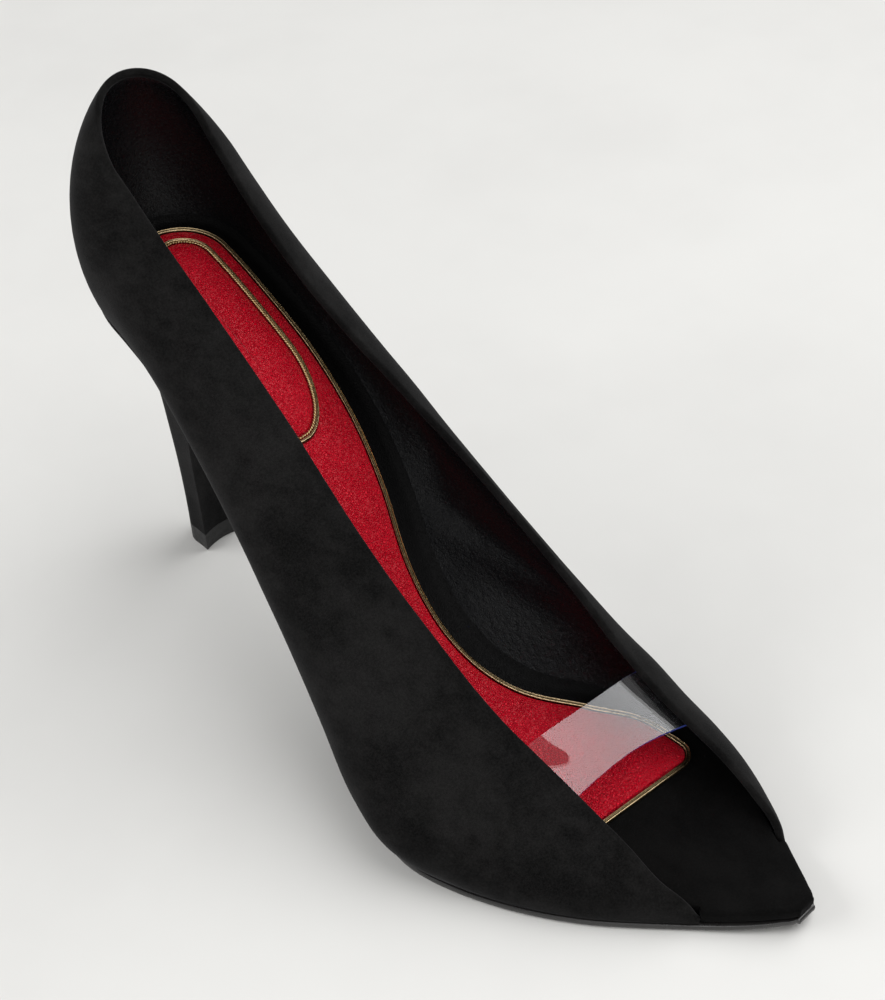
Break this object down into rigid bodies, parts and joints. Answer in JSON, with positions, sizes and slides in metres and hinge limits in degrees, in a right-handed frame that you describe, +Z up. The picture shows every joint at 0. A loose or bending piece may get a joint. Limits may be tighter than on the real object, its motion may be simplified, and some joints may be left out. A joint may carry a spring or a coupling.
{
  "type": "peep toe pump",
  "caption": "Right high-heeled peep toe pump in black suede, with open front, clear vamp strap, red sock and padded heel pad.",
  "frame": {"origin": "on the floor, under the middle of the whole shoe's bounding box", "axes": "+X to the wearer's left, the inner side of this right foot; +Y from the toe to the heel; +Z up"},
  "size_m": [0.0866, 0.2332, 0.1505],
  "materials": {
    "suede": "matt suede nap",
    "sole_leather": "smooth, glossed edge",
    "sock_leather": "pebble grain, satin",
    "lining_leather": "smooth, soft gloss",
    "gold_edging": "metallic foil",
    "gold_cord": "twisted metallic thread",
    "clear_band": "clear, glossy, faintly blue at the edges",
    "heel_rubber": "matt"
  },
  "bodies": {
    "root": {"upper": "suede", "insole": "suede", "outsole": "sole_leather", "sock": "sock_leather", "sock_edging": "gold_edging", "heel_pad": "sock_leather", "heel_pad_cord": "gold_cord", "vamp_strap": "clear_band", "heel": "suede", "top_piece": "heel_rubber"}
  },
  "joints": []
}
